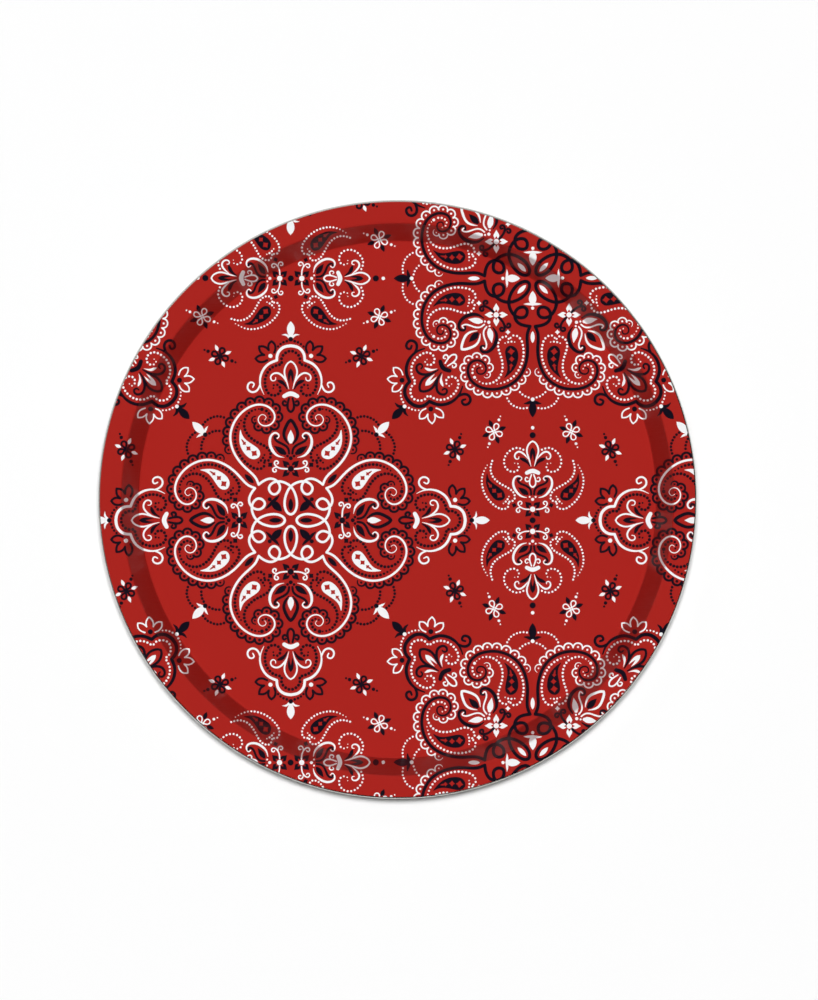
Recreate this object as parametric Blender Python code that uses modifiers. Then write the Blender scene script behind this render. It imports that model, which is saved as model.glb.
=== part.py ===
"""Round pressed tin serving tray with a rolled, wired edge.

Units are metres and +Z is up. The tray lies face up, and the middle of its underside is the origin.
Radii and heights of the pan are those of the middle of its sheet, unless a comment says otherwise.
"""

import math

import bpy

OBJECT_NAME = "serving_tray"

# Driving dimensions
TRAY_RADIUS = 0.165  # to the outside of the rolled edge
TRAY_HEIGHT = 0.025  # from the underside of the well to the top of the brim
SHEET = 0.0004  # thickness of the tinplate
WELL_RADIUS = 0.1429  # where the flat floor would meet the wall without the bend
WALL_TOP_RADIUS = 0.1524  # where the wall would meet the brim without the bend
BEND_RADIUS = 0.0014
CURL_RADIUS = 0.0015  # of the rolled edge's section, to its outside
CURL_TURN = math.radians(300)
WIRE_RADIUS = 0.00075
WIRE_JOINT_GAP = 0.0008  # between the ends of the wire ring, which butt together

# Fineness of the mesh
RING_STEPS = 72
BEND_STEPS = 3
CURL_STEPS = 10
MERGE_DISTANCE = 0.00001

# Where the curl and the wire in it have the centre of their section
CURL_CENTRE_RADIUS = TRAY_RADIUS - CURL_RADIUS
CURL_CENTRE_HEIGHT = TRAY_HEIGHT - CURL_RADIUS


def clear_scene():
    for obj in list(bpy.data.objects):
        bpy.data.objects.remove(obj, do_unlink=True)


def new_collection(name):
    collection = bpy.data.collections.new(name)
    bpy.context.scene.collection.children.link(collection)
    return collection


def new_material(name, colour, roughness, metallic):
    material = bpy.data.materials.new(name)
    material.use_nodes = True
    shader = material.node_tree.nodes["Principled BSDF"]
    shader.inputs["Base Color"].default_value = (*colour, 1.0)
    shader.inputs["Roughness"].default_value = roughness
    shader.inputs["Metallic"].default_value = metallic
    return material


def arc(centre, radius, start, end, steps):
    """Points on an arc in the profile's plane, ends included."""
    angles = [start + (end - start) * i / steps for i in range(steps + 1)]
    return [(centre[0] + radius * math.cos(a), centre[1] + radius * math.sin(a)) for a in angles]


def pan_profile():
    """The middle of the sheet as (radius, height), from the axis out to the end of the curl."""
    floor_height = SHEET / 2
    brim_height = TRAY_HEIGHT - SHEET / 2
    slope = math.atan2(brim_height - floor_height, WALL_TOP_RADIUS - WELL_RADIUS)
    cut_back = BEND_RADIUS * math.tan(slope / 2)
    foot_centre = (WELL_RADIUS - cut_back, floor_height + BEND_RADIUS)
    shoulder_centre = (WALL_TOP_RADIUS + cut_back, brim_height - BEND_RADIUS)
    curl_centre = (CURL_CENTRE_RADIUS, CURL_CENTRE_HEIGHT)
    up = math.pi / 2
    return [
        (0.0, floor_height),
        *arc(foot_centre, BEND_RADIUS, -up, slope - up, BEND_STEPS),
        *arc(shoulder_centre, BEND_RADIUS, slope + up, up, BEND_STEPS),
        *arc(curl_centre, CURL_RADIUS - SHEET / 2, up, up - CURL_TURN, CURL_STEPS),
    ]


def make_pressed_pan(collection, material):
    """One sheet: flat floor, steep wall, level brim and the edge rolled under round the wire."""
    points = [(radius, 0.0, height) for radius, height in pan_profile()]
    edges = [(i, i + 1) for i in range(len(points) - 1)]
    mesh = bpy.data.meshes.new("pressed_pan")
    mesh.from_pydata(points, edges, [])
    mesh.materials.append(material)
    pan = bpy.data.objects.new("pressed_pan", mesh)
    collection.objects.link(pan)

    turn = pan.modifiers.new("Turn", "SCREW")
    turn.axis = "Z"
    turn.steps = RING_STEPS
    turn.render_steps = RING_STEPS
    turn.use_merge_vertices = True
    turn.merge_threshold = MERGE_DISTANCE
    turn.use_smooth_shade = True

    thicken = pan.modifiers.new("Sheet thickness", "SOLIDIFY")
    thicken.thickness = SHEET
    thicken.offset = 0.0
    thicken.use_even_offset = True
    return pan


def make_rim_wire(collection, material):
    """The stiffening wire inside the curl: one ring, cut once, with its ends nearly touching."""
    half_gap = WIRE_JOINT_GAP / 2 / CURL_CENTRE_RADIUS
    step = 2 * math.pi / RING_STEPS
    angles = [half_gap, *(step * i for i in range(1, RING_STEPS)), 2 * math.pi - half_gap]

    curve = bpy.data.curves.new("rim_wire", "CURVE")
    curve.dimensions = "3D"
    curve.bevel_depth = WIRE_RADIUS
    curve.bevel_resolution = 2
    curve.use_fill_caps = True
    spline = curve.splines.new("POLY")
    spline.points.add(len(angles) - 1)
    for point, angle in zip(spline.points, angles, strict=True):
        x = CURL_CENTRE_RADIUS * math.cos(angle)
        y = CURL_CENTRE_RADIUS * math.sin(angle)
        point.co = (x, y, 0.0, 1.0)
    curve.materials.append(material)

    wire = bpy.data.objects.new("rim_wire", curve)
    wire.location.z = CURL_CENTRE_HEIGHT
    collection.objects.link(wire)
    return wire


def main():
    clear_scene()
    parts = new_collection(OBJECT_NAME)
    red_lacquer = new_material("red_lacquered_tinplate", (0.402, 0.022, 0.018), 0.35, 0.0)
    bright_wire = new_material("bright_steel_wire", (0.52, 0.51, 0.49), 0.35, 1.0)
    make_pressed_pan(parts, red_lacquer)
    make_rim_wire(parts, bright_wire)


main()
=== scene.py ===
"""Looks of the round tin serving tray: the printed sheet, its rolled edge and its wire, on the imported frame.

The face carries a bandana-style print of generic scrolls, curls, dots and flowers. Every outline of the
print is drawn below in millimetres, and the outlines are cut into the sheet's own surface, so the inks are
faces of the metal and need no image. The rest of the sheet is turned from its section.
"""

import math

import bpy
import numpy as np
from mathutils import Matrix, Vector
from mathutils.geometry import delaunay_2d_cdt


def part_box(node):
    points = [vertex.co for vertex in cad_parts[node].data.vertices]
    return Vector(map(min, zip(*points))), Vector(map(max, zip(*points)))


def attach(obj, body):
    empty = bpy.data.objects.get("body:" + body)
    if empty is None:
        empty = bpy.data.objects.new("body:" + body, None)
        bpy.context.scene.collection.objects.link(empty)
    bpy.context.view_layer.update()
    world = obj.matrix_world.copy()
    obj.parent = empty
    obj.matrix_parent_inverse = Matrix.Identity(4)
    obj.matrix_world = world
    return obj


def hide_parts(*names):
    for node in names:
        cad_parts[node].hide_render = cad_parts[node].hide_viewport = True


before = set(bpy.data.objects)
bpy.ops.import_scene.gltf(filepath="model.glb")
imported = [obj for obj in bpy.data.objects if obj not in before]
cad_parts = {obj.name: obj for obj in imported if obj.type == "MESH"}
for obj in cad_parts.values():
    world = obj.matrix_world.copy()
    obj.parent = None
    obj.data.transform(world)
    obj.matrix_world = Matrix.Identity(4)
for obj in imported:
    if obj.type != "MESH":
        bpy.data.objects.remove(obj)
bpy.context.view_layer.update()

MM = 0.001
pan_low, pan_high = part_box("pressed_pan")

# The section of the sheet, in millimetres and degrees. Wall radii are those of the middle of the sheet.
TRAY_RADIUS = round((pan_high[0] - pan_low[0]) / 2 / MM, 1)
TRAY_HEIGHT = round(pan_high[2] / MM, 1)
SHEET = 0.4
WELL_RADIUS = 142.9
WALL_TOP_RADIUS = 152.4
BEND_RADIUS = 1.4
CURL_RADIUS = 1.5
CURL_TURN = 300
PRINT_EDGE_TURN = 20  # how far the print goes over the rolled edge, from its crown

# Fineness of the mesh
RING_STEPS = 288
BEND_STEPS = 4
WALL_STEPS = 2
PRINT_EDGE_STEPS = 2
CURL_STEPS = 24
LIP_STEPS = 4
NEARNESS = 0.0001  # points that are closer than this, in millimetres, count as one
CURVE_ERROR = 0.022  # of an outline's chords, in millimetres
LONGEST_CHORD = 3.0
SHORTEST_CHORD = 0.3
SHARPEST_END = 0.05  # a stroke narrower than twice this at its end stops in a point

# Where the repeat of the print lies on the tray, in millimetres
PERIOD = 266.68
MEDALLION_X = -58.84
MEDALLION_Y = -11.49
PRINT_SCALE = 1.0012  # of the whole drawing, places included

RED, WHITE, NAVY, METAL = "red", "white", "navy", "metal"
INKS = [RED, WHITE, NAVY, METAL]  # in the order of the sheet's material slots
INK_SPREAD = {RED: 0.0, WHITE: -0.025, NAVY: 0.21}  # how far each ink runs past its drawn outline
BROAD, FINE = 1.7, 1.4  # widths in millimetres: a broad shape keeps its outline, a fine one spreads in full

# Light. The window is seen in reflections only, and its light falls off to that of the wall opposite it.
ROOM_LIGHT = 0.05
BACKDROP_LIGHT = 0.9
WINDOW_LIGHT = 0.68
FAR_WALL_LIGHT = 0.01
WINDOW_AZIMUTH = 115
TOP_LIGHT = 3.03  # of each of the two suns
FLOOR_LIGHT_TILT = 5

# Floor, in metres
FLOOR_HALF_WIDTH = 14.0
FLOOR_GAP = 0.0002  # keeps the floor clear of the tray's underside

# Camera. The height of its picture is measured at the brim, and the view's centre is a place on the floor.
LENS = 1100
SENSOR = 36
FARTHEST_SEEN = 100
PICTURE_HEIGHT = 0.55108
VIEW_CENTRE = (0.00635, -0.00031)


# ---- Drawing tools: outlines are arrays of points in millimetres ----


def lengths(line):
    """How far along the line each of its points is."""
    return np.concatenate([[0], np.cumsum(np.linalg.norm(np.diff(line, axis=0), axis=1))])


def at_distances(line, distances):
    run = lengths(line)
    return np.stack([np.interp(distances, run, line[:, k]) for k in (0, 1)], axis=1)


def unit(vectors):
    return vectors / np.maximum(np.linalg.norm(vectors, axis=1, keepdims=True), 1e-9)


def directions(line):
    """The unit direction of the line at each of its points."""
    steps = unit(np.diff(line, axis=0))
    return unit(np.concatenate([steps[:1], steps[:-1] + steps[1:], steps[-1:]]))


def to_left(directions_along):
    return np.stack([-directions_along[:, 1], directions_along[:, 0]], axis=1)


def spline(points, closed=False, parts=24):
    """A cubic spline through the points, in this many parts from each point to the next."""
    p = np.array(points, float)
    if closed:
        p = np.concatenate([p[-3:], p, p[:4]])
    knots = np.concatenate([[0], np.cumsum(np.linalg.norm(np.diff(p, axis=0), axis=1) ** 0.75)])
    h = np.diff(knots)
    count = len(p)
    system, wanted = np.eye(count), np.zeros((count, 2))
    for i in range(1, count - 1):
        system[i, i - 1 : i + 2] = h[i - 1], 2 * (h[i - 1] + h[i]), h[i]
        wanted[i] = 6 * ((p[i + 1] - p[i]) / h[i] - (p[i] - p[i - 1]) / h[i - 1])
    bend = np.linalg.solve(system, wanted)
    pieces = []
    for i in range(3, count - 4) if closed else range(count - 1):
        s = np.linspace(0, h[i], parts, endpoint=False)[:, None]
        slope = (p[i + 1] - p[i]) / h[i] - h[i] * (2 * bend[i] + bend[i + 1]) / 6
        pieces.append(p[i] + s * slope + s**2 * bend[i] / 2 + s**3 * (bend[i + 1] - bend[i]) / (6 * h[i]))
    pieces.append(p[3:4] if closed else p[-1:])
    return np.concatenate(pieces)


def curve(points, closed=False, fewest=2):
    """A smooth line through the points, whose own points are closer together where it bends more."""
    line = spline(points, closed)
    run = lengths(line)
    along = directions(line)
    turning = np.linalg.norm(np.diff(along, axis=0), axis=1) / np.maximum(np.diff(run), 1e-9)
    needed = np.clip(np.sqrt(turning / (8 * CURVE_ERROR)), 1 / LONGEST_CHORD, 1 / SHORTEST_CHORD)
    chords = np.concatenate([[0], np.cumsum(needed * np.diff(run))])
    chords += run * max(0, fewest - chords[-1]) / run[-1]
    count = math.ceil(chords[-1]) + 1
    picked = np.interp(np.linspace(0, chords[-1], count), chords, run)
    line = at_distances(line, picked)
    return line[:-1] if closed else line


def half_round(centre, side, radius):
    """The points between the two edges of a stroke, round its end."""
    if radius < SHARPEST_END:
        return np.empty((0, 2))
    ahead = np.array((side[1], -side[0]))
    angles = np.linspace(0, math.pi, 5 if radius < 0.6 else 7)[1:-1]
    return np.array([centre + radius * (math.cos(a) * side + math.sin(a) * ahead) for a in angles])


def evenly_spread(sizes, shares):
    """Sizes that are spread evenly along a line, or one for all of it, at these shares of its length."""
    sizes = (sizes, sizes) if np.isscalar(sizes) else sizes
    return np.interp(shares, np.linspace(0, 1, len(sizes)), sizes)


def brush(points, widths):
    """A brush stroke along a smooth line, with evenly spread widths; 0 at an end is a point."""
    line = curve(points, fewest=2 * np.size(widths) - 2)
    half = evenly_spread(widths, lengths(line) / lengths(line)[-1]) / 2
    side = to_left(directions(line))
    left, right = line + side * half[:, None], line - side * half[:, None]
    far_end = half_round(line[-1], side[-1], half[-1])
    near_end = half_round(line[0], -side[0], half[0])
    return np.concatenate([left, far_end, right[::-1], near_end])


def disc(x, y, radius):
    """A dot; a larger one gets more sides."""
    count = 8 if radius < 0.75 else 10 if radius < 1 else 14
    a = np.arange(count) * 2 * math.pi / count
    return np.stack([x + radius * np.cos(a), y + radius * np.sin(a)], axis=1)


def spiral(x, y, start_radius, end_radius, start, end, count=6):
    """Points that wind round (x, y) from one radius and angle to another, in degrees."""
    angles = np.radians(np.linspace(start, end, count))
    radii = np.linspace(start_radius, end_radius, count)
    return [(x + r * math.cos(a), y + r * math.sin(a)) for a, r in zip(angles, radii)]


def blade(x0, y0, x1, y1, width, widest=0.5, fullness=0.8):
    """A leaf from one point to another, pointed at both ends; less fullness gives it blunter ends."""
    share = np.linspace(0, 1, 9)
    swell = np.where(share < widest, share / widest, (1 - share) / (1 - widest)) / 2
    return brush([(x0, y0), (x1, y1)], width * np.sin(math.pi * swell) ** fullness)


def drop(x0, y0, x1, y1, width):
    """A teardrop, round at its first end and pointed at its second."""
    start, end = np.array((x0, y0), float), np.array((x1, y1), float)
    start += (end - start) / np.linalg.norm(end - start) * width / 4
    return brush([start, end], [width * share for share in (0.58, 0.93, 1, 0.95, 0.8, 0.56, 0.28, 0)])


def star(x, y, size, turn=0.0):
    """A small square with hollow sides and its corners out."""
    corners = [(size if k % 2 == 0 else size * 0.6, math.radians(turn + 45 * k)) for k in range(8)]
    return np.array([(x + r * math.cos(a), y + r * math.sin(a)) for r, a in corners])


def mirrored(shapes):
    return [(ink, outline * (-1, 1)) for ink, outline in shapes]


def turned(shapes, degrees):
    a = math.radians(degrees)
    turn = np.array([[math.cos(a), math.sin(a)], [-math.sin(a), math.cos(a)]])
    return [(ink, outline @ turn) for ink, outline in shapes]


def moved(shapes, x, y):
    return [(ink, outline + (x, y)) for ink, outline in shapes]


def both_sides(shapes):
    return shapes + mirrored(shapes)


def spread_ink(outline, spread):
    """The outline moved outwards this far, as wet ink moves on the plate."""
    before, after = np.roll(outline, 1, axis=0), np.roll(outline, -1, axis=0)
    along = unit(unit(outline - before) + unit(after - outline))
    winding = np.sign(np.sum(outline[:, 0] * after[:, 1] - after[:, 0] * outline[:, 1]))
    return outline - to_left(along) * winding * spread


def thinness(outline):
    """1 for fine lines and small dots, 0 for broad shapes; for a long line the measure is its width."""
    ahead = np.roll(outline, -1, axis=0)
    area = abs(outline[:, 0] @ ahead[:, 1] - outline[:, 1] @ ahead[:, 0]) / 2
    width = 2 * area / np.linalg.norm(ahead - outline, axis=1).sum()
    return np.clip((BROAD - width) / (BROAD - FINE), 0, 1)


def inked(ink, *outlines):
    return [(ink, spread_ink(outline, INK_SPREAD[ink] * thinness(outline))) for outline in outlines]


def stroke(ink, points, widths):
    return inked(ink, brush(points, widths))


def dotted(ink, points, count, radii):
    """Dots at even distances along a smooth line, with evenly spread radii."""
    line = spline(points)
    centres = at_distances(line, np.linspace(0, lengths(line)[-1], count))
    sizes = evenly_spread(radii, np.linspace(0, 1, count))
    return inked(ink, *(disc(x, y, radius) for (x, y), radius in zip(centres, sizes)))


# ---- Motifs: most have a main ink and a second one, which change places between the two medallions ----

# The strap runs from the medallion's middle through its loops to the curl, which goes on and winds in
STRAP = [(1.3, 3.8), (0, 3.25), (-1.4, 3.8), (-3.05, 6.6), (-3.1, 12.2), (0, 18.6), (4.7, 21.2), (9.4, 20.9),
         (12, 17.4), (9.3, 14.3), (6.1, 17), (7.5, 21.5), (11.3, 22.95), (15.3, 21.5), (17.7, 19.7)]
CURL = [(17.7, 19.7), (19.5, 23.6), (24.6, 28.6), (30, 35), (33.3, 45), (30.6, 55), (23.9, 61.75),
        (16.8, 63.8), (11, 61.5), (8.8, 57), (11.1, 52.9), (15.9, 52.5), (17.95, 55.8), (15.5, 58.3),
        (13.6, 56.8), (14.3, 55.4)]

# The lace beside the curl
LACE_REACH = 2.13
LACE_SWELL = ((27, 1.05), (35, 0.94), (48, 1.2), (58, 1.03), (66, 1.04), (72, 0.9), (81, 0.87))  # by distance
LACE_PLACES = np.interp(range(15), (0, 2, 8, 13, 14), (25, 35.2, 67.4, 92.7, 96.9))  # along its own line
ARCH_RADIUS = 2.6
ARCH_LEG = 0.2
ARCH_DROP = 0.42  # of the arch's centre below the dot in it


def lace(ink):
    """Little arches outside the curl, with a dot in each. Both ends of the row fade out."""
    line = spline(CURL)
    reach = LACE_REACH * np.interp(lengths(line), *zip(*LACE_SWELL))
    edge = line - to_left(directions(line)) * reach[:, None]
    step = 0.5
    centres, ahead = at_distances(edge, LACE_PLACES), at_distances(edge, LACE_PLACES + step)
    turns = np.radians(range(0, 181, 30))
    arch = [(-ARCH_RADIUS * math.cos(turn), ARCH_RADIUS * math.sin(turn)) for turn in turns]
    arch = [(-ARCH_RADIUS, -ARCH_LEG), *arch, (ARCH_RADIUS, -ARCH_LEG)]
    last = len(LACE_PLACES) - 1
    shapes = []
    for i, (centre, next_point) in enumerate(zip(centres, ahead)):
        size, width, part = 1, 0.9, arch
        if i in (1, last - 1):
            size, width = 0.95, 0.8
        elif i == 0:
            size, width, part = 0.88, (0.3, 0.5, 0.65, 0.75), arch[1:]
        elif i == last:
            size, width, part = 0.76, (0.75, 0.65, 0.5, 0.3), arch[:-1]
        along = (next_point - centre) / step
        out = np.array((along[1], -along[0]))
        placed = [centre + size * (u * along + (v - ARCH_DROP) * out) for u, v in part]
        shapes += inked(ink, brush(placed, width), disc(*centre, 0.64 * size**2))
    return shapes


def paisley(main, second):
    """One of the eight curls: thick spiral, lace, dotted lining, and a teardrop with three diamonds."""
    shapes = lace(second)
    shapes += stroke(main, CURL, (1.35, 1.35, 1.3, 1.25, 1.2, 1.1, 0.75, 0.35))
    lining = (0.35, 0.67, 0.69, 0.69, 0.69, 0.69, 0.6)
    shapes += dotted(second, [(17.6, 61.3), (21.5, 60.3), (25.2, 55.7), (25.1, 49.7), (20, 43.9),
                              (14.7, 41.1), (11.2, 37.2), (12.25, 33), (14.2, 32.9)], 22, lining)
    shapes += dotted(second, [(27.4, 55), (29.5, 51.3), (30.8, 45.5), (29.7, 39.4), (26.8, 34),
                              (22.3, 29.9), (18.2, 28.3), (14.9, 29.5), (14.55, 31.8)], 20, lining)
    shapes += dotted(second, [(14.5, 36), (15.8, 33.6), (17.8, 31.8)], 4, (0.4, 0.6, 0.6, 0.4))
    shapes += inked(second, disc(15.9, 61.2, 0.86))
    shapes += dotted(second, [(13.4, 60.3), (11.7, 58.3), (11.5, 56.2), (12.8, 54.4), (15.5, 54.9)], 6,
                     (0.68, 0.6, 0.4))
    shapes += inked(second, star(11.3, 30.6, 1.45, 45))
    shapes += inked(main, curve([(27.7, 49.9), (28.35, 45.5), (27.45, 40.1), (24.9, 36.1), (20.8, 33.7),
                                 (17.35, 35.1), (17.1, 38.1), (20.2, 41.2), (25.15, 44.8), (27.2, 48.3)],
                                closed=True))
    shapes += inked(RED, star(20.1, 36.9, 2.05, 38), star(23.3, 39.6, 1.65, 43), star(25.6, 42.4, 1.25, 47),
                    blade(25.6, 42.4, 27.3, 44.9, 1, 0.3))
    return shapes


def flame(ink, top, bottom, width):
    """A pointed bud on the middle line, with a red slit up from its foot."""
    bud = [width * share for share in (0.15, 0.62, 0.85, 0.96, 1, 0.99, 0.94, 0.85, 0.7)]
    slit = [width * share for share in (0, 0.15, 0.27, 0.37, 0.45, 0.5)]
    slit_top = 0.52 * top + 0.48 * bottom
    return stroke(ink, [(0, top), (0, bottom)], bud) + stroke(RED, [(0, slit_top), (0, bottom - 0.5)], slit)


def rosette(y, heart, petals, bars, petal_reach=4.55, curl_shift=0.0, bar_width=1.0):
    """A four-petal flower with a scroll bar on its right side; the caller mirrors it."""
    petal = (2.2, 3, 3.25, 2.9, 2.2, 1.4, 0.7, 0)
    shapes = []
    for side in (1, -1):
        shapes += stroke(petals, [(1.5, y + 1.5 * side), (petal_reach, y + petal_reach * side)], petal)
        shapes += stroke(RED, [(1.1, y + 1.1 * side), (2.15, y + 2.15 * side)], (1.7, 0.9, 0))
    shapes += inked(RED, disc(0, y, 1.85))
    upper = [(1.9, y - 0.1), (4.8 - curl_shift / 2, y + 0.1), (7.3 - curl_shift, y + 0.9),
             *spiral(7.7 - curl_shift, y + 3.3, 1.35, 0.65, -20, 250)]
    lower = [(7 - curl_shift, y + 0.75), *spiral(8.7 - curl_shift, y - 0.75, 1.45, 0.6, 80, -215)]
    shapes += stroke(bars, upper, bar_width * np.array((0.9, 0.9, 0.95, 0.9, 0.8)))
    shapes += stroke(bars, lower, bar_width * np.array((0.5, 0.9, 0.9, 0.8)))
    return shapes + inked(heart, disc(0, y, 1.5))


def arm(main, second):
    """What lies on one arm of the medallion, from its middle out."""
    half = rosette(28.4, second, second, main)
    # Leaves, C-scroll and S-scroll
    half += inked(second, drop(2.6, 36.4, 9.3, 41.1, 3.3), disc(1.8, 35.4, 0.6))
    half += stroke(main, [(3.6, 34.6), (7.4, 35.7), (10.4, 39), (11.6, 43.3), (10.3, 47.3), (7.9, 48.1),
                          (6.5, 46.6), (7.4, 45.2)], (0.2, 1.2, 1.6, 1.6, 1.3, 1.05, 0.8))
    half += stroke(second, [(0.9, 36.8), (1.5, 39.6), (4.6, 42.1), (8.3, 44.3), (8.9, 46.1), (7.5, 46.3)],
                   (0.9, 0.95, 0.95, 0.8))
    # Tall outlined bud
    half += stroke(second, [(0, 55.2), (0.9, 54.5), (2.4, 52.1), (3.8, 48), (3.1, 44.8), (1.2, 42)],
                   (1.4, 1.45, 1.4, 1.35, 1.1, 0.35))
    # Little fleur under the cap
    half += stroke(second, [(1, 67.2), (1.8, 63), (1.2, 60.6), (0, 59.8), (-0.6, 60)], (0.8, 0.95, 0.95))
    half += stroke(second, [(1.9, 63.9), (3.5, 63.3), (4.4, 64.5), (3.6, 65.8), (2.7, 65.2)],
                   (0.9, 0.95, 0.7))
    # Palmette
    half += stroke(main, [(1.1, 72.4), (2.4, 77), (3.5, 81.6), (2.7, 85), (1.1, 87), (-0.2, 87.6)],
                   (0.3, 1, 1, 1, 0.9))
    half += stroke(main, [(1.6, 74.5), (3.6, 78.4), (7.9, 81.2), (11, 79.2), (10.2, 77), (8.6, 77.3),
                          (8.3, 78.7)], (0.3, 1, 1.1, 1, 0.8, 0.5))
    half += stroke(second, [(2, 72.4), (4.2, 75.6), (7, 76.9)], (0.2, 0.6, 1, 1.5, 1.6, 0.6))
    half += dotted(second, [(6.2, 85.8), (10, 84.4), (13.3, 80.5), (14.2, 75.6), (12.1, 69.9), (8.4, 68.9),
                            (5.7, 71.6), (7.6, 74.7), (9.9, 73.9), (9.6, 72.75)], 19,
                   (0.69, 0.69, 0.69, 0.69, 0.69, 0.69, 0.35))
    half += dotted(second, [(1, 93.2), (3.6, 91.7), (5.1, 88.9), (5, 87)], 5, 0.69)
    # Trefoil frame
    half += stroke(main, [(0, 96.2), (4.2, 95.2), (7.2, 91.8), (7.7, 88.2)], (1.7, 1.6, 1.5))
    half += stroke(main, [(7.7, 88.2), (12.8, 85.7), (16.5, 79.9), (16.7, 74), (14.8, 69.4)],
                   (1.5, 1.4, 1.3, 0.95, 0.35))
    half += stroke(main, [(16.8, 75.2), (18.7, 71.5), (21.5, 70.7), (23.8, 73), (22.2, 76), (20.3, 75.3),
                          (20.9, 73.4)], (0.9, 1.15, 1.15, 1.1, 1, 0.8))
    # Half flower at the shoulder
    petal_sides = [
        [(9.1, 92.4), (8.4, 94.7), (9, 97.2), (10.6, 98.7)],
        [(10.6, 98.7), (12, 97.3), (12.4, 95.5), (12.1, 93.8)],
        [(12.1, 93.8), (13.7, 95.3), (15.6, 95.9), (17.4, 95.8)],
        [(17.4, 95.8), (17.3, 94.2), (16.3, 92.3), (14.6, 91.1)],
        [(14.6, 91.1), (16.6, 91), (18.3, 90.2), (19.4, 89.1)],
        [(19.4, 89.1), (17.9, 87.6), (15.5, 87.2), (13, 88.2)],
    ]
    for side in petal_sides:
        half += stroke(second, side, 0.85)
    half += inked(main, disc(11.2, 90.6, 1.2))
    # Above the frame, a dart's wing
    half += dotted(second, [(2.2, 98.7), (4.8, 97.7), (7, 95.8)], 4, (0.62, 0.5))
    half += stroke(main, [(1, 100.8), (2.2, 102), (5, 102.2)], (1.2, 1.2, 0.1))

    middle = inked(second, disc(0, 34.2, 0.95), blade(0, 11.9, 0, 5.1, 2.4, 0.5, 0.7))
    middle += inked(main, drop(0, 42.4, 0, 49.9, 3.5))
    middle += stroke(main, [(-3.6, 68.4), (0, 69.8), (3.6, 68.4)], (2.2, 2.6, 2.2))
    middle += flame(second, 83.4, 76.3, 3.2)
    middle += inked(main, blade(0, 100.4, 0, 109.7, 4.3, 0.55))
    return middle + both_sides(half) + inked(second, disc(0, 99.8, 1.1))


def diagonal(main, second):
    """What lies between two arms, with the diagonal upright: a tulip near the middle and a dart far out."""
    half = stroke(second, [(0, 14.6), (1.6, 14.2), (5.1, 14.2)], (1, 1.5, 0.1))
    half += dotted(second, [(14.05, 66.1), (11.9, 69.2), (8.7, 71), (5.9, 71.7), (3.15, 71.45)], 8, 0.6)
    half += dotted(second, [(7, 62.7), (5.5, 64.1), (4, 65), (2.2, 65.6)], 4, 0.6)
    half += stroke(main, [(0.5, 67.6), (2.3, 68.6), (4.6, 69)], (1, 1.4, 0.1))
    middle = inked(second, blade(0, 6.9, 0, 15.2, 4.2, 0.55), disc(0, 16.4, 0.95),
                   blade(0, 29.1, 0, 35.7, 2.3, 0.5, 0.6))
    middle += inked(main, blade(0, 67, 0, 76.7, 4.3, 0.5))
    return middle + both_sides(half) + inked(second, disc(0, 66.7, 1.1))


def medallion(main, second):
    wedge = paisley(main, second) + stroke(main, STRAP, 1.4)
    shapes = []
    for quarter in range(4):
        shapes += turned(both_sides(wedge), 90 * quarter)
        shapes += turned(arm(main, second), 90 * quarter)
        shapes += turned(diagonal(main, second), 45 + 90 * quarter)
    return shapes


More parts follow.
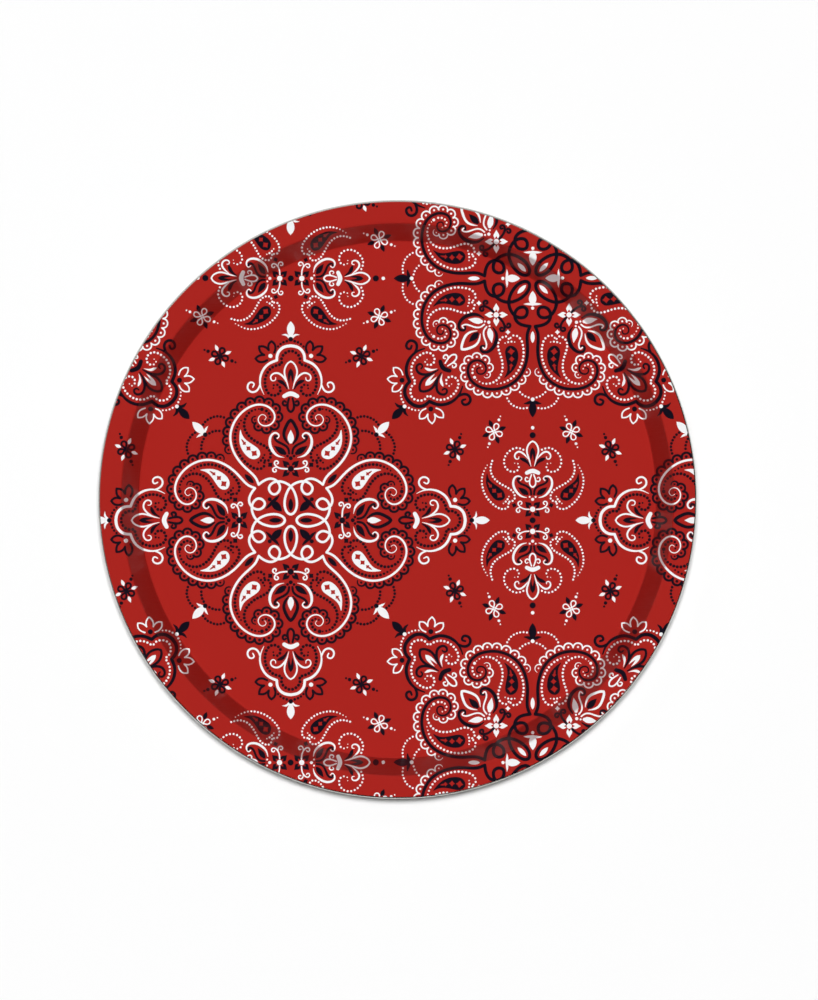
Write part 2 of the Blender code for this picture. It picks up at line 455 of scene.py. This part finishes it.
def bow():
    """The motif half way between two medallions, with its long axis upright."""
    half = rosette(6.1, WHITE, NAVY, WHITE, petal_reach=4.0, curl_shift=0.95, bar_width=0.85)
    # Leaves, C-scroll and S-scroll
    half += inked(NAVY, drop(2.5, 14.2, 8.1, 18.2, 2.9))
    half += inked(WHITE, disc(1.65, 12.9, 0.55))
    half += stroke(WHITE, [(3.4, 12.5), (6.4, 13.4), (9.3, 16.3), (10.7, 20), (9.8, 23.5), (7.8, 24.3),
                           (6, 23.1), (6.8, 21.9)], (0.4, 1.1, 1.35, 1.35, 1.2, 0.9, 0.6))
    half += stroke(NAVY, [(0.8, 14.3), (1.3, 17), (3.9, 19.1), (7.4, 20.8), (8.2, 22.6), (7, 23.3)],
                   (0.8, 0.8, 0.8, 0.7))
    # Little fleur under the cap
    half += stroke(WHITE, [(0.6, 25.2), (1.7, 21.5), (1.2, 19.1), (0, 18.3), (-0.6, 18.5)], (0.8, 0.9, 0.9))
    half += stroke(WHITE, [(1.8, 21.9), (3.2, 21.4), (4.1, 22.5), (3.4, 23.7), (2.5, 23.2)], (0.8, 0.8, 0.5))
    # Palmette
    half += stroke(WHITE, [(0.9, 29.8), (2.1, 34), (3.2, 38.2), (2.5, 41.3), (1, 43.1), (-0.2, 43.6)],
                   (0.3, 1, 1, 1, 0.9))
    half += stroke(WHITE, [(2.6, 33.9), (4.5, 36.2), (7.6, 37.8), (9.8, 36), (9.2, 33.9), (7.9, 33.9),
                           (7.6, 35)], (0.3, 1, 1.1, 1, 0.8, 0.5))
    half += stroke(NAVY, [(1.5, 29.9), (3.6, 32.6), (6.6, 34)], (0.2, 0.6, 1, 1.5, 1.6, 0.6))
    half += dotted(WHITE, [(5.1, 38.9), (8.9, 39.9), (12.7, 38.2), (15.5, 34.3), (15.1, 29.4), (12.1, 26.9),
                           (8.8, 27.2), (7.6, 29.8), (8.8, 31.7), (9.9, 31.45)], 17,
                   (0.62, 0.62, 0.62, 0.62, 0.62, 0.62, 0.3))
    # Dotted outline round the teardrop
    half += dotted(WHITE, [(22.3, 32.7), (23.2, 28.4), (21.9, 24), (18.1, 20.4), (13.3, 17.7), (10.3, 14.8),
                           (10.2, 11.4), (12.8, 10.2)], 18, 0.62)
    half += dotted(WHITE, [(25, 30.4), (27.6, 25), (27.9, 19.9), (25.9, 13.7), (21.7, 8.7), (16.8, 6.2),
                           (13.7, 7.2), (13.3, 9.2)], 20, (0.35, 0.62, 0.62, 0.62, 0.62))
    half += dotted(WHITE, [(13.1, 13.1), (14.2, 11), (16.1, 9.3)], 4, (0.4, 0.62, 0.62, 0.4))
    half += inked(NAVY, star(10.2, 8.3, 1.25, 20))
    half += inked(NAVY, curve([(25.1, 25.9), (25.7, 21.4), (25, 18), (22.6, 13.4), (18.8, 10.8), (15.5, 12.2),
                               (15.6, 15.2), (18.8, 18.4), (22.8, 21.3), (24.6, 24.2)], closed=True))
    half += inked(RED, star(18.2, 13.8, 1.85, 38), star(21.2, 16.3, 1.5, 43), star(23.3, 18.9, 1.15, 47),
                  blade(23.3, 18.9, 24.9, 21.2, 0.9, 0.3))

    middle = inked(NAVY, disc(0, 46.9, 1.6)) + inked(WHITE, disc(0, 51, 1), disc(0, 11.5, 0.9))
    middle += stroke(WHITE, [(-3.2, 26.1), (0, 27.2), (3.2, 26.1)], (2.1, 2.5, 2.1))
    middle += flame(NAVY, 39.9, 32.9, 3)
    upper = middle + both_sides(half)
    return upper + turned(upper, 180) + inked(NAVY, disc(0, 0, 1.55))


def knot_flower(main, second):
    """A looped square knot with four petals between its loops and two trailing dots on either side."""
    half_loop = [(0, -0.8), (0.8, 0), (1.9, 0.85), (3.2, 1.35), (4.35, 0.95)]
    loop = [*half_loop, (4.7, 0), *((x, -y) for x, y in reversed(half_loop))]
    knot = stroke(main, loop, 0.75) + turned(inked(second, drop(3.2, 0, 6.9, 0.1, 1.9)), 45)
    shapes = [shape for quarter in range(4) for shape in turned(knot, 90 * quarter)]
    for side in (1, -1):
        shapes += inked(main, disc(7.1 * side, 0, 0.8), disc(9.2 * side, 0, 0.45))
    return turned(shapes, 22)


def knot_flowers():
    """The sixteen round a light medallion: two kinds, each placed eight times by the medallion's symmetry."""
    shapes = moved(knot_flower(NAVY, WHITE), 39, 90.5) + moved(knot_flower(WHITE, NAVY), 48.8, 112.1)
    axes_swapped = [(ink, outline[:, ::-1]) for ink, outline in shapes]
    shapes = both_sides(shapes) + both_sides(axes_swapped)
    return shapes + turned(shapes, 180)


def bandana(period, x, y, reach):
    """The repeat, with a light medallion at (x, y), as far as it comes within reach of the tray's middle."""
    light, dark = medallion(WHITE, NAVY) + knot_flowers(), turned(medallion(NAVY, WHITE), 45)
    upright, level = bow(), turned(bow(), 90)
    half = period / 2
    shapes = []
    for i in range(-1, 2):
        for j in range(-1, 2):
            u, v = x + i * period, y + j * period
            shapes += moved(light, u, v) + moved(dark, u + half, v + half)
            shapes += moved(upright, u + half, v) + moved(level, u, v + half)
    return [(ink, o * PRINT_SCALE) for ink, o in shapes if np.hypot(o[:, 0], o[:, 1]).min() < reach]


# ---- The printed sheet ----

SLOPE = math.atan2(TRAY_HEIGHT - SHEET, WALL_TOP_RADIUS - WELL_RADIUS)
CUT_BACK = BEND_RADIUS * math.tan(SLOPE / 2)
INNER_BEND = BEND_RADIUS - SHEET / 2
OUTER_BEND = BEND_RADIUS + SHEET / 2

# Centres, as (radius, height), of the bend at the wall's foot, of the one at its shoulder and of the curl
FOOT = (WELL_RADIUS - CUT_BACK, SHEET / 2 + BEND_RADIUS)
SHOULDER = (WALL_TOP_RADIUS + CUT_BACK, TRAY_HEIGHT - SHEET / 2 - BEND_RADIUS)
CURL_CENTRE = (TRAY_RADIUS - CURL_RADIUS, TRAY_HEIGHT - CURL_RADIUS)

PRINT_EDGE = CURL_CENTRE[0] + CURL_RADIUS * math.sin(math.radians(PRINT_EDGE_TURN))
RING_ANGLES = np.arange(RING_STEPS) * 2 * math.pi / RING_STEPS


def ring(radius):
    return np.stack([radius * np.cos(RING_ANGLES), radius * np.sin(RING_ANGLES)], axis=1)


def ring_radii():
    """Radii of the circles that the upper face is cut at, so that its bends come out smooth."""
    leans = [SLOPE * k / BEND_STEPS for k in range(BEND_STEPS + 1)]
    foot = [FOOT[0] + INNER_BEND * math.sin(lean) for lean in leans]
    shoulder = [SHOULDER[0] - OUTER_BEND * math.sin(lean) for lean in reversed(leans)]
    wall = np.linspace(foot[-1], shoulder[0], WALL_STEPS + 1)[1:-1]
    turns = np.radians(np.linspace(0, PRINT_EDGE_TURN, PRINT_EDGE_STEPS + 1))
    edge = [CURL_CENTRE[0] + CURL_RADIUS * math.sin(turn) for turn in turns]
    return [*foot, *wall, *shoulder, *edge]


def upper_face(radius):
    """Height of the sheet's upper face at each radius, and how far the face leans in to the axis there."""
    in_foot = np.arcsin(np.clip((radius - FOOT[0]) / INNER_BEND, 0, math.sin(SLOPE)))
    in_shoulder = np.arcsin(np.clip((SHOULDER[0] - radius) / OUTER_BEND, 0, math.sin(SLOPE)))
    on_curl = np.arcsin(np.clip((radius - CURL_CENTRE[0]) / CURL_RADIUS, 0, 1))
    lean = np.minimum(in_foot, in_shoulder) - on_curl
    wall_foot = FOOT[0] + INNER_BEND * math.sin(SLOPE)
    wall_shoulder = SHOULDER[0] - OUTER_BEND * math.sin(SLOPE)
    up_wall = np.clip(radius, wall_foot, wall_shoulder) - wall_foot
    height = FOOT[1] - INNER_BEND * np.cos(in_foot) + up_wall * math.tan(SLOPE)
    height += OUTER_BEND * (np.cos(in_shoulder) - math.cos(SLOPE)) - CURL_RADIUS * (1 - np.cos(on_curl))
    return height, lean


def covered(outline, x, y):
    """Which of the points the outline goes round, by its winding, so that it may cross itself."""
    (ax, ay), (bx, by) = outline.T, np.roll(outline, -1, axis=0).T
    x, y = x[:, None], y[:, None]
    left = (bx - ax) * (y - ay) - (x - ax) * (by - ay)
    rising = (ay <= y) & (by > y) & (left > 0)
    falling = (ay > y) & (by <= y) & (left < 0)
    return rising.sum(axis=1) != falling.sum(axis=1)


def inks_at(shapes, places):
    """The ink at each place: that of the last shape that covers it, or else the red ground."""
    order = np.argsort(places[:, 0])
    x, y = places[order].T
    found = np.full(len(x), INKS.index(RED))
    for ink, outline in shapes:
        (x0, y0), (x1, y1) = outline.min(axis=0), outline.max(axis=0)
        first, last = np.searchsorted(x, (x0, x1))
        near = first + np.flatnonzero((y[first:last] > y0) & (y[first:last] < y1))
        found[near[covered(outline, x[near], y[near])]] = INKS.index(ink)
    inks = np.empty_like(found)
    inks[order] = found
    return inks


def within_print(places):
    """Which places lie inside the many-sided outline of the print."""
    half_step = math.pi / RING_STEPS
    angle = np.arctan2(places[:, 1], places[:, 0]) % (2 * half_step)
    return np.hypot(*places.T) * np.cos(angle - half_step) < PRINT_EDGE * math.cos(half_step)


def cut_face(shapes):
    """The upper face in plan, cut along every outline and circle: its points, triangles and their inks."""
    loops = [ring(radius) for radius in ring_radii()] + [outline for _, outline in shapes]
    starts = np.cumsum([0, *map(len, loops)])
    edges = [(start + i, start + (i + 1) % len(loop))
             for start, loop in zip(starts, loops) for i in range(len(loop))]
    cut = delaunay_2d_cdt([Vector(p) for p in np.concatenate(loops)], edges, [], 0, NEARNESS, False)
    points, triangles = np.array(cut[0]), np.array(cut[2])
    centres = points[triangles].mean(axis=1)
    kept = within_print(centres)
    triangles, inks = triangles[kept], inks_at(shapes, centres[kept])
    used, triangles = np.unique(triangles, return_inverse=True)
    return points[used], triangles.reshape(-1, 3), inks


def hidden_section():
    """The rest of the sheet's section, from the print's edge round to the foot of the wall.

    Each row is a radius, a height and the outward and upward parts of the normal there. A hollow arc has
    side -1, and an arc that starts at a point which the surface already has leaves that point out.
    """
    rows = []

    def arc(centre, radius, start, end, steps, side=1, first=0):
        for angle in np.radians(np.linspace(start, end, steps + 1))[first:]:
            c, s = math.cos(angle), math.sin(angle)
            rows.append((centre[0] + radius * c, centre[1] + radius * s, side * c, side * s))

    curl_start, curl_end = 90 - PRINT_EDGE_TURN, 90 - CURL_TURN
    lean = math.degrees(SLOPE)
    end, middle = math.radians(curl_end), CURL_RADIUS - SHEET / 2
    lip = (CURL_CENTRE[0] + middle * math.cos(end), CURL_CENTRE[1] + middle * math.sin(end))
    arc(CURL_CENTRE, CURL_RADIUS, curl_start, curl_end, CURL_STEPS, first=1)
    arc(lip, SHEET / 2, curl_end, curl_end - 180, LIP_STEPS, first=1)
    arc(CURL_CENTRE, CURL_RADIUS - SHEET, curl_end, 90, CURL_STEPS // 2, -1, first=1)
    arc(SHOULDER, INNER_BEND, 90, 90 + lean, BEND_STEPS, -1)
    arc(FOOT, OUTER_BEND, lean - 90, -90, BEND_STEPS)
    return rows


def rim_faces(points, rim, first_ring):
    """Faces from the print's edge, which has extra points where outlines meet it, to the next ring."""
    step = 2 * math.pi / RING_STEPS
    angles = (np.arctan2(points[rim, 1], points[rim, 0]) + NEARNESS) % (2 * math.pi)
    order = np.argsort(angles)
    rim, sectors = rim[order], (angles[order] / step).astype(int)
    groups = [rim[sectors == sector].tolist() for sector in range(RING_STEPS)]
    faces = []
    for i, group in enumerate(groups):
        following = (i + 1) % RING_STEPS
        faces.append([first_ring + i, first_ring + following, groups[following][0], *reversed(group)])
    return faces


def make_printed_tray(shapes, materials):
    """The whole sheet as one closed mesh: printed face, rolled edge and bare underside."""
    points, triangles, inks = cut_face(shapes)
    radius = np.hypot(*points.T)
    height, lean = upper_face(radius)
    outward = points / np.maximum(radius, NEARNESS)[:, None]
    places = [np.column_stack([points, height])]
    normals = [np.column_stack([-outward * np.sin(lean)[:, None], np.cos(lean)])]
    rows = hidden_section()
    for row_radius, row_height, normal_out, normal_up in rows:
        places.append(np.column_stack([ring(row_radius), np.full(RING_STEPS, row_height)]))
        normals.append(np.column_stack([ring(normal_out), np.full(RING_STEPS, normal_up)]))
    places.append([(0, 0, 0)])
    normals.append([(0, 0, -1)])

    sides = np.sort(np.concatenate([triangles[:, [0, 1]], triangles[:, [1, 2]], triangles[:, [2, 0]]]))
    sides, uses = np.unique(sides, axis=0, return_counts=True)
    faces = triangles.tolist() + rim_faces(points, np.unique(sides[uses == 1]), len(points))
    next_step = np.roll(np.arange(RING_STEPS), -1)
    for k in range(len(rows) - 1):
        near, far = (len(points) + RING_STEPS * row for row in (k, k + 1))
        faces += [(near + i, far + i, far + j, near + j) for i, j in enumerate(next_step)]
    last, axis = len(points) + RING_STEPS * (len(rows) - 1), len(points) + RING_STEPS * len(rows)
    faces += [(last + i, axis, last + j) for i, j in enumerate(next_step)]

    mesh = bpy.data.meshes.new("printed_tray")
    mesh.from_pydata((np.concatenate(places) * MM).tolist(), [], faces)
    for ink in INKS:
        mesh.materials.append(materials[ink])
    slots = np.full(len(faces), INKS.index(METAL))
    slots[: len(triangles)] = inks
    mesh.polygons.foreach_set("material_index", slots)
    mesh.shade_smooth()
    mesh.normals_split_custom_set_from_vertices(np.concatenate(normals).tolist())
    tray = bpy.data.objects.new("printed_tray", mesh)
    bpy.context.scene.collection.objects.link(tray)
    return tray


# ---- Materials ----


def new_material(name, colour, **sockets):
    """A Principled material with plain values on the named sockets, and its shader and node tree."""
    material = bpy.data.materials.new(name)
    material.use_nodes = True
    tree = material.node_tree
    shader = tree.nodes["Principled BSDF"]
    shader.inputs["Base Color"].default_value = (*colour, 1.0)
    for socket, value in sockets.items():
        shader.inputs[socket.replace("_", " ")].default_value = value
    return material, tree, shader


def noise(tree, scale, detail=2.0, stretch=(1, 1, 1), rough=0.5):
    """A noise texture in the object's own space; its scale is in waves a metre."""
    place = tree.nodes.new("ShaderNodeTexCoord")
    mapping = tree.nodes.new("ShaderNodeMapping")
    mapping.inputs["Scale"].default_value = stretch
    texture = tree.nodes.new("ShaderNodeTexNoise")
    texture.inputs["Scale"].default_value = scale
    texture.inputs["Detail"].default_value = detail
    texture.inputs["Roughness"].default_value = rough
    tree.links.new(place.outputs["Object"], mapping.inputs["Vector"])
    tree.links.new(mapping.outputs["Vector"], texture.inputs["Vector"])
    return texture.outputs["Fac"]


def spread(tree, value, low, high, from_low=0.3, from_high=0.7):
    """The value's usual range stretched to run from low to high."""
    node = tree.nodes.new("ShaderNodeMapRange")
    node.inputs["From Min"].default_value = from_low
    node.inputs["From Max"].default_value = from_high
    node.inputs["To Min"].default_value = low
    node.inputs["To Max"].default_value = high
    tree.links.new(value, node.inputs["Value"])
    return node.outputs["Result"]


def total(tree, first, second):
    node = tree.nodes.new("ShaderNodeMath")
    tree.links.new(first, node.inputs[0])
    tree.links.new(second, node.inputs[1])
    return node.outputs["Value"]


def bumps(tree, shader, height, metres):
    """Relief this many metres deep, from a height that runs from 0 to 1."""
    node = tree.nodes.new("ShaderNodeBump")
    node.inputs["Strength"].default_value = 1.0
    node.inputs["Distance"].default_value = metres
    tree.links.new(height, node.inputs["Height"])
    tree.links.new(node.outputs["Normal"], shader.inputs["Normal"])


def lacquered_ink(name, colour, roughness):
    """Litho ink under clear lacquer: faint orange peel, rub marks, and haze where it has been handled."""
    material, tree, shader = new_material(
        name, colour, Coat_Weight=0.12, Coat_Roughness=0.35, Specular_IOR_Level=0.2
    )
    handling = spread(tree, noise(tree, 14, 3), roughness - 0.05, roughness + 0.06)
    rubs = spread(tree, noise(tree, 90, 2, (1, 14, 1)), -0.03, 0.03)
    tree.links.new(total(tree, handling, rubs), shader.inputs["Roughness"])
    bumps(tree, shader, noise(tree, 700, 1), 0.000004)
    return material


def bare_tinplate():
    """Bright rolled tinplate: fine lines along the rolling direction and cloudy patches in its shine."""
    material, tree, shader = new_material("bare_tinplate", (0.62, 0.60, 0.57), Metallic=1.0)
    lines = noise(tree, 160, 4, (1, 22, 22))
    clouds = spread(tree, noise(tree, 35, 3), 0.17, 0.28)
    tree.links.new(total(tree, clouds, spread(tree, lines, -0.05, 0.07)), shader.inputs["Roughness"])
    bumps(tree, shader, lines, 0.000003)
    return material


def drawn_wire():
    """Steel wire with the long scratches of the die it was drawn through."""
    material, tree, shader = new_material("drawn_steel_wire", (0.50, 0.49, 0.47), Metallic=1.0)
    scratches = noise(tree, 1500, 3, (1, 1, 6))
    stains = spread(tree, noise(tree, 60, 3), 0.28, 0.45)
    tree.links.new(total(tree, stains, spread(tree, scratches, -0.05, 0.08)), shader.inputs["Roughness"])
    bumps(tree, shader, scratches, 0.000006)
    return material


def floor_paper():
    material, tree, shader = new_material("floor_paper", (0.93, 0.93, 0.93), Specular_IOR_Level=0.1)
    tree.links.new(spread(tree, noise(tree, 300, 2), 0.75, 0.9), shader.inputs["Roughness"])
    return material


# ---- Stage: pale floor, soft light, camera straight above ----


def make_floor():
    mesh = bpy.data.meshes.new("floor")
    corners = [(x * FLOOR_HALF_WIDTH, y * FLOOR_HALF_WIDTH, -FLOOR_GAP)
               for x, y in ((-1, -1), (1, -1), (1, 1), (-1, 1))]
    mesh.from_pydata(corners, [], [(0, 1, 2, 3)])
    mesh.materials.append(floor_paper())
    floor = bpy.data.objects.new("floor", mesh)
    bpy.context.scene.collection.objects.link(floor)
    return floor


def new_background(tree, strength):
    """A white background; its strength is a number or another node's output."""
    node = tree.nodes.new("ShaderNodeBackground")
    node.inputs["Color"].default_value = (1, 1, 1, 1)
    if isinstance(strength, float):
        node.inputs["Strength"].default_value = strength
    else:
        tree.links.new(strength, node.inputs["Strength"])
    return node.outputs["Background"]


def mixed(tree, share, first, second):
    """The first background where the share is 0 and the second where it is 1."""
    node = tree.nodes.new("ShaderNodeMixShader")
    for place, value in enumerate((share, first, second)):
        tree.links.new(value, node.inputs[place])
    return node.outputs["Shader"]


def make_world():
    """A dim pale room, a window in its reflections only, and a white backdrop for the camera."""
    world = bpy.data.worlds.new("studio")
    bpy.context.scene.world = world
    world.use_nodes = True
    tree = world.node_tree
    azimuth = math.radians(WINDOW_AZIMUTH)
    place = tree.nodes.new("ShaderNodeTexCoord")
    towards = tree.nodes.new("ShaderNodeVectorMath")
    towards.operation = "DOT_PRODUCT"
    towards.inputs[1].default_value = (math.cos(azimuth), math.sin(azimuth), 0)
    tree.links.new(place.outputs["Generated"], towards.inputs[0])
    facing = towards.outputs["Value"]
    window = spread(tree, facing, FAR_WALL_LIGHT, WINDOW_LIGHT, from_low=-0.05, from_high=0.85)

    ray = tree.nodes.new("ShaderNodeLightPath")
    room, reflected = new_background(tree, ROOM_LIGHT), new_background(tree, window)
    backdrop = new_background(tree, BACKDROP_LIGHT)
    surface = mixed(tree, ray.outputs["Is Glossy Ray"], room, reflected)
    surface = mixed(tree, ray.outputs["Is Camera Ray"], surface, backdrop)
    tree.links.new(surface, tree.nodes["World Output"].inputs["Surface"])


def make_top_light(name, tilt, angle, lit):
    """A sun this wide, tilted this far to the back, that lights these objects only and leaves no glare."""
    light = bpy.data.lights.new(name, "SUN")
    light.energy = TOP_LIGHT
    light.angle = math.radians(angle)
    lamp = bpy.data.objects.new(name, light)
    lamp.location = (0, 0, 2)
    lamp.rotation_euler = (-math.radians(tilt), 0, 0)
    lamp.visible_glossy = False
    lamp.light_linking.receiver_collection = bpy.data.collections.new(name + "_falls_on")
    for thing in lit:
        lamp.light_linking.receiver_collection.objects.link(thing)
    bpy.context.scene.collection.objects.link(lamp)


def make_soft_box(name, azimuth, elevation, watts, side=0.9, distance=1.8):
    """A square softbox that faces the tray; its azimuth is counted from +X towards +Y."""
    light = bpy.data.lights.new(name, "AREA")
    light.energy = watts
    light.size = side
    a, e = math.radians(azimuth), math.radians(elevation)
    place = distance * Vector((math.cos(a) * math.cos(e), math.sin(a) * math.cos(e), math.sin(e)))
    lamp = bpy.data.objects.new(name, light)
    lamp.location = place
    lamp.rotation_mode = "QUATERNION"
    lamp.rotation_quaternion = place.to_track_quat("Z", "Y")
    lamp.visible_glossy = False
    bpy.context.scene.collection.objects.link(lamp)


def make_camera():
    """Straight above with a very long lens, the tray a little left of the middle as in a catalogue shot."""
    camera = bpy.data.cameras.new("camera")
    camera.lens = LENS
    camera.sensor_width = SENSOR
    camera.clip_end = FARTHEST_SEEN
    eye = bpy.data.objects.new("camera", camera)
    eye.location = (*VIEW_CENTRE, PICTURE_HEIGHT * LENS / SENSOR + TRAY_HEIGHT * MM)
    bpy.context.scene.collection.objects.link(eye)
    bpy.context.scene.camera = eye


# ---- Build ----

materials = {
    RED: lacquered_ink("red_lacquer", (0.368, 0.0168, 0.0125), roughness=0.5),
    WHITE: lacquered_ink("white_ink", (0.85, 0.85, 0.86), roughness=0.5),
    NAVY: lacquered_ink("navy_ink", (0.0045, 0.003, 0.0085), roughness=0.48),
    METAL: bare_tinplate(),
}
tray = make_printed_tray(bandana(PERIOD, MEDALLION_X, MEDALLION_Y, PRINT_EDGE), materials)
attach(tray, "root")
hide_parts("pressed_pan")

wire = bpy.data.objects["rim_wire"]
wire_steel = drawn_wire()
for slot in wire.material_slots:
    slot.material = wire_steel

floor = make_floor()
make_world()
make_top_light("top_light", tilt=0, angle=5, lit=[tray, wire])
make_top_light("floor_light", tilt=FLOOR_LIGHT_TILT, angle=9, lit=[floor])
make_soft_box("soft_box_left", azimuth=135, elevation=48, watts=1.5)
make_soft_box("soft_box_right", azimuth=20, elevation=35, watts=0.8)
make_soft_box("soft_box_front", azimuth=265, elevation=30, watts=0.8)
make_camera()
bpy.context.scene.view_settings.view_transform = "Standard"
